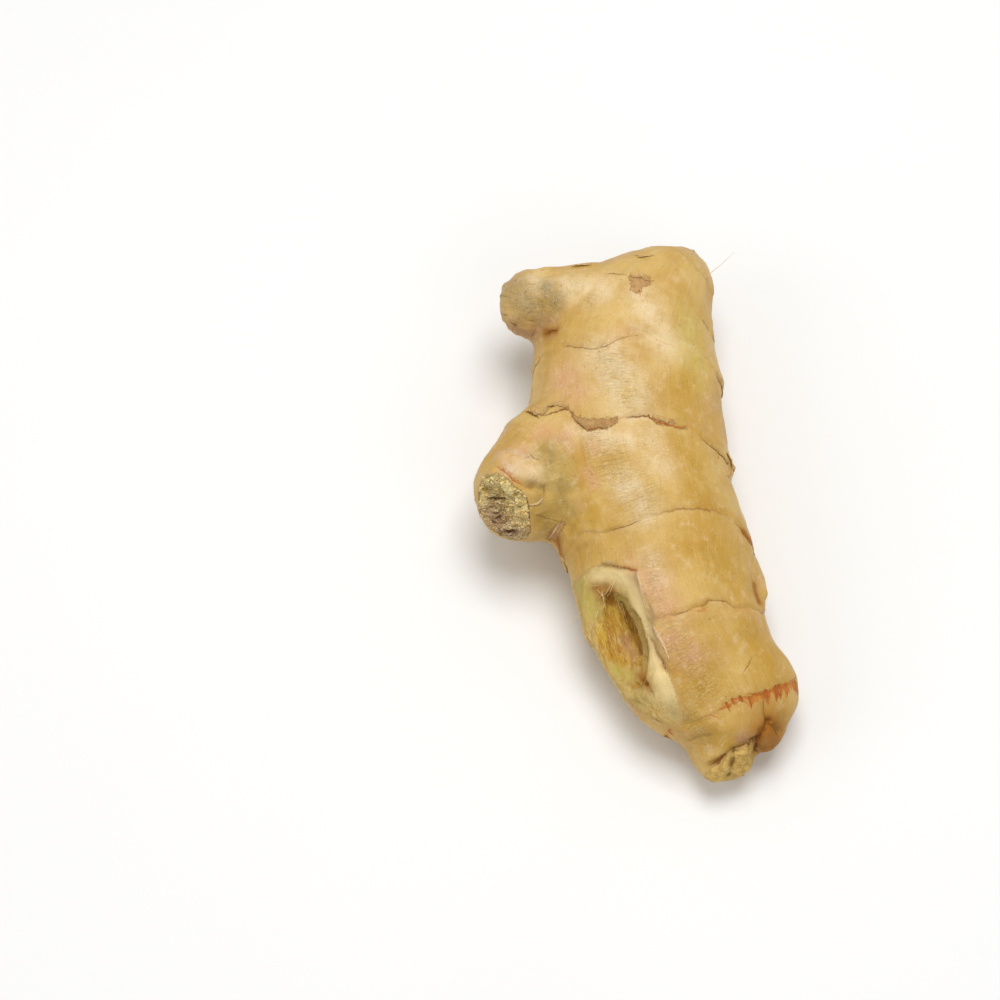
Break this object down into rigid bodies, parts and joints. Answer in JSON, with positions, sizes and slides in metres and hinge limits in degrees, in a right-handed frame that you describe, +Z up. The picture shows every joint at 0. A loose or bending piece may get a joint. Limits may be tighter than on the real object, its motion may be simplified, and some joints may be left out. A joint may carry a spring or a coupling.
{
  "type": "ginger root",
  "caption": "Whole fresh ginger rhizome with a jointed body, a broken side knob, a short blunt finger, a torn hollow and a lobed growing end.",
  "frame": {"origin": "on the resting surface, under the middle of the rhizome's bounding box", "axes": "+Z up from the resting surface; +Y along the body from the growing end towards the broken far end; the knob and the finger point towards -X"},
  "size_m": [0.0732, 0.1282, 0.0377],
  "materials": {
    "skin": "thin papery tan skin, satin, faintly fibrous",
    "flesh": "dried torn flesh, matte and fibrous",
    "papery_scale": "dry scale remnants, matte",
    "fibre": "thin dry root fibres, matte"
  },
  "bodies": {
    "root": {"rhizome": "skin"}
  },
  "joints": []
}
